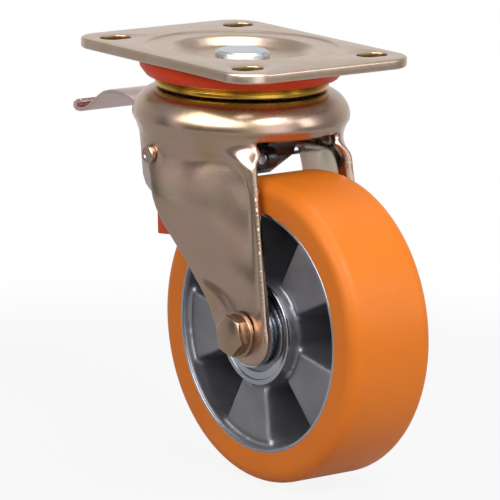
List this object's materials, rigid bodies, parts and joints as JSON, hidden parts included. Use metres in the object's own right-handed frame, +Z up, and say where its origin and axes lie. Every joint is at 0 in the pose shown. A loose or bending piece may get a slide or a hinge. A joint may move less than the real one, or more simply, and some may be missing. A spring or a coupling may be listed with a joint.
{
  "type": "castor wheel",
  "caption": "Swivel castor with a bolt-on top plate, a pressed fork, a pedal brake that also locks the swivel, and an orange tyre on a cast wheel centre.",
  "frame": {"origin": "centre of the top plate's upper face, on the swivel axis", "axes": "+Z up out of the plate's upper face, the castor hangs in -Z; +X toward the trailing wheel, the pedal points to -X; +Y along the axle, right-handed"},
  "size_m": [0.2338, 0.1142, 0.2068],
  "materials": {
    "passivated_steel": "satin",
    "zinc_steel": "satin",
    "bearing_steel": "polished",
    "shield_steel": "satin",
    "spring_steel": "satin",
    "black_steel": "satin",
    "cast_aluminium": "satin",
    "seal": "satin",
    "brake_block": "matte",
    "tyre": "satin"
  },
  "bodies": {
    "plate": {"top_plate": "passivated_steel", "kingpin": "zinc_steel", "kingpin_nut": "zinc_steel", "upper_cup": "passivated_steel", "dust_seal": "seal", "lower_cup": "bearing_steel", "lock_disc": "zinc_steel"},
    "fork": {"fork": "passivated_steel", "upper_balls": "bearing_steel", "lower_balls": "bearing_steel", "axle_bolt": "passivated_steel", "axle_nut": "passivated_steel", "axle_washer": "passivated_steel", "axle_tube": "zinc_steel", "spacer_rings": "zinc_steel", "bearing_inner_rings": "bearing_steel", "distance_sleeve": "zinc_steel", "pivot_bolt": "zinc_steel", "pivot_nut": "zinc_steel", "pivot_sleeve": "zinc_steel", "return_spring": "spring_steel"},
    "brake": {"brake_lever": "passivated_steel", "brake_block": "brake_block", "block_rivets": "zinc_steel", "lock_arm": "black_steel", "lock_arm_pin": "zinc_steel"},
    "wheel": {"tyre": "tyre", "wheel_centre": "cast_aluminium", "bearing_outer_rings": "bearing_steel", "bearing_balls": "bearing_steel", "bearing_shields": "shield_steel"}
  },
  "joints": [
    {"name": "swivel", "type": "hinge", "parent": "plate", "child": "fork", "pos_m": [0, 0, 0], "axis": [0, 0, 1], "continuous": true},
    {"name": "wheel_spin", "type": "hinge", "parent": "fork", "child": "wheel", "pos_m": [0.0465, 0, -0.1318], "axis": [0, 1, 0], "continuous": true},
    {"name": "brake", "type": "hinge", "parent": "fork", "child": "brake", "pos_m": [-0.0085, 0, -0.0505], "axis": [0, 1, 0], "range_deg": [-7, 0], "stiffness_Nm_per_rad": 3, "springref_deg": 17.19}
  ]
}
